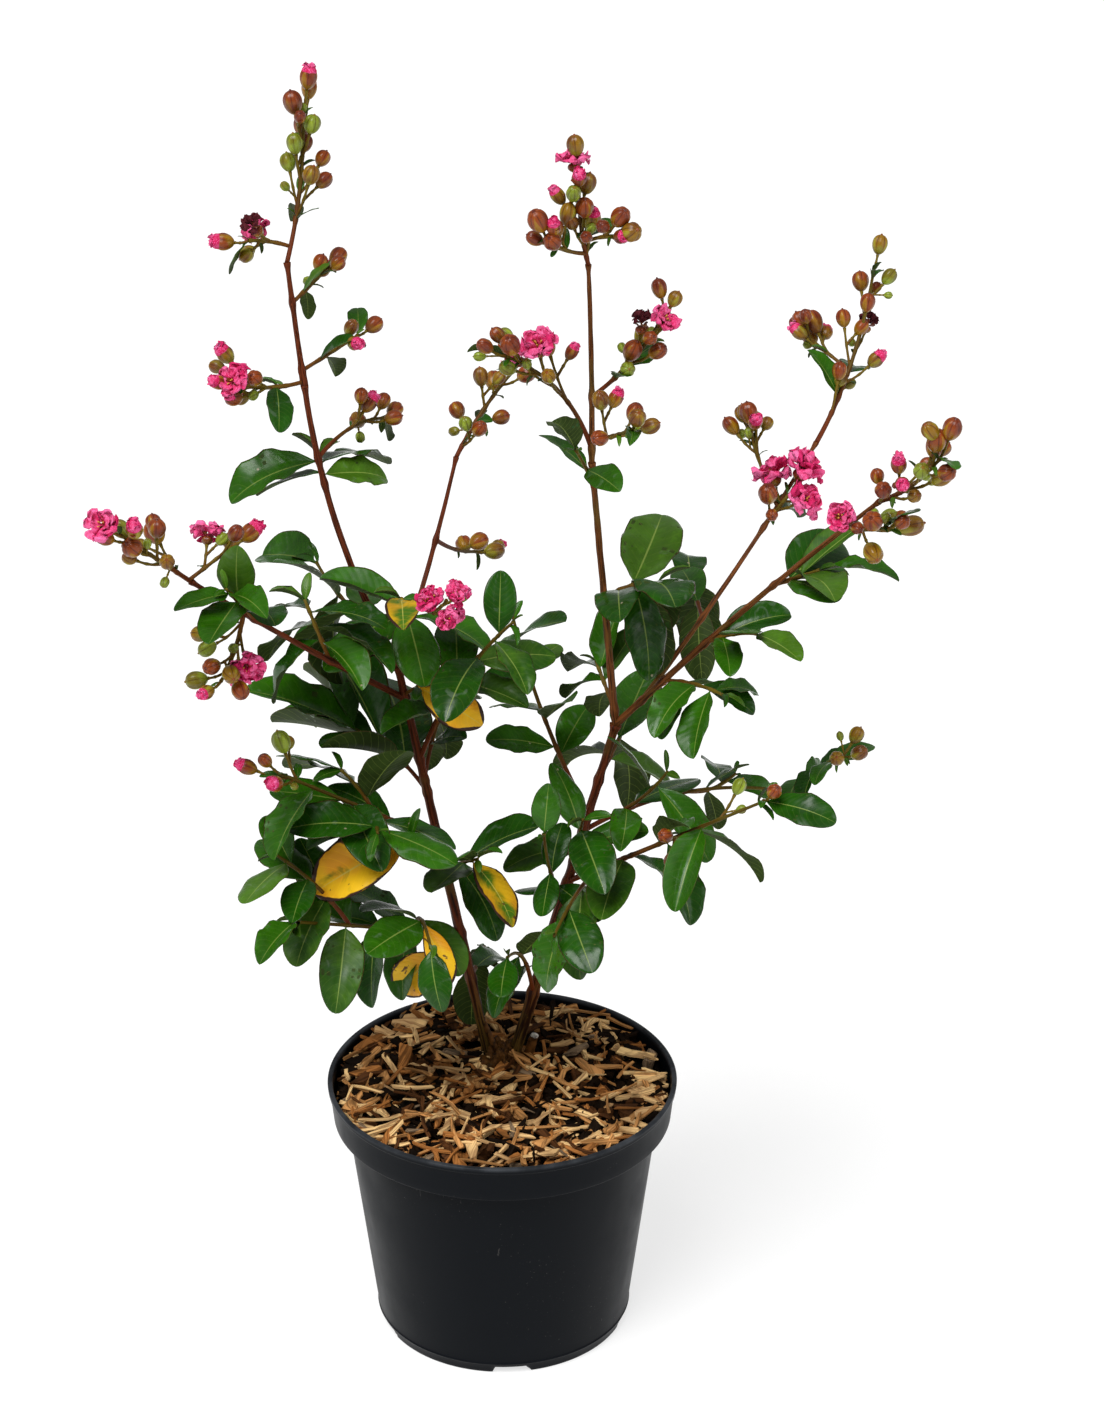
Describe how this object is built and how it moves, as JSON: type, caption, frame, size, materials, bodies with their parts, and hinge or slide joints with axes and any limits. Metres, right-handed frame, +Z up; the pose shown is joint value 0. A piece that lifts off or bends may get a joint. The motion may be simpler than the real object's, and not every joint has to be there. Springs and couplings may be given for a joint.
{
  "type": "potted crape myrtle",
  "caption": "Young flowering shrub with slender stems, open boughs, glossy oval leaves, round buds and a few pink blooms, standing in a plain round nursery pot filled with wood chips.",
  "frame": {"origin": "the middle of the pot's flat underside", "axes": "+Z up, +X to the right as seen from the front, +Y to the back, and the front of the plant faces -Y"},
  "size_m": [0.4747, 0.3387, 0.809],
  "materials": {
    "pot_plastic": "smooth black moulded plastic, softly shiny",
    "soil": "dark, damp and crumbly",
    "wood_chips": "rough, matt, straw to dark brown",
    "bark": "thin, smooth, faintly striped reddish-brown bark",
    "leaf": "glossy deep green with a pale midrib",
    "yellow_leaf": "yellow, part brown, turning before it falls",
    "blossom": "crinkled pink petals, and smooth green to red-brown buds"
  },
  "bodies": {
    "root": {"pot": "pot_plastic", "soil": "soil", "mulch": "wood_chips", "crown": "bark", "left_stem": "bark", "right_stem": "bark", "left_leader": "bark", "left_spire": "bark", "left_bough": "bark", "inner_leader": "bark", "centre_leader": "bark", "centre_spire": "bark", "right_bough": "bark", "back_bough": "bark", "left_low_leaves": "leaf", "left_middle_leaves": "leaf", "left_inner_leaves": "leaf", "left_stem_leaves": "leaf", "left_bough_leaves": "leaf", "left_bough_outer_leaves": "leaf", "left_leader_leaves": "leaf", "left_leader_upper_leaves": "leaf", "left_flower_twig": "leaf", "left_spire_twig": "leaf", "inner_leader_leaves": "leaf", "inner_right_leaves": "leaf", "inner_small_leaves": "leaf", "centre_twig_leaves": "leaf", "centre_leader_leaves": "leaf", "centre_middle_leaves": "leaf", "centre_upper_leaves": "leaf", "right_bough_leaves": "leaf", "right_bough_middle_leaves": "leaf", "right_bough_outer_leaves": "leaf", "right_long_shoot": "leaf", "right_low_leaves": "leaf", "right_stem_shoot": "leaf", "right_stem_leaves": "leaf", "back_bough_leaves": "leaf", "back_low_leaves": "leaf", "back_high_leaves": "leaf", "front_low_leaves": "leaf", "stem_yellow_leaf": "yellow_leaf", "left_truss": "blossom", "left_lower_truss": "blossom", "left_inner_truss": "blossom", "left_side_truss": "blossom", "left_top_truss": "blossom", "low_truss": "blossom", "inner_lower_truss": "blossom", "inner_truss": "blossom", "centre_left_truss": "blossom", "centre_mid_truss": "blossom", "centre_right_truss": "blossom", "centre_top_truss": "blossom", "right_truss": "blossom", "right_lower_truss": "blossom", "back_middle_truss": "blossom", "back_top_truss": "blossom"}
  },
  "joints": []
}
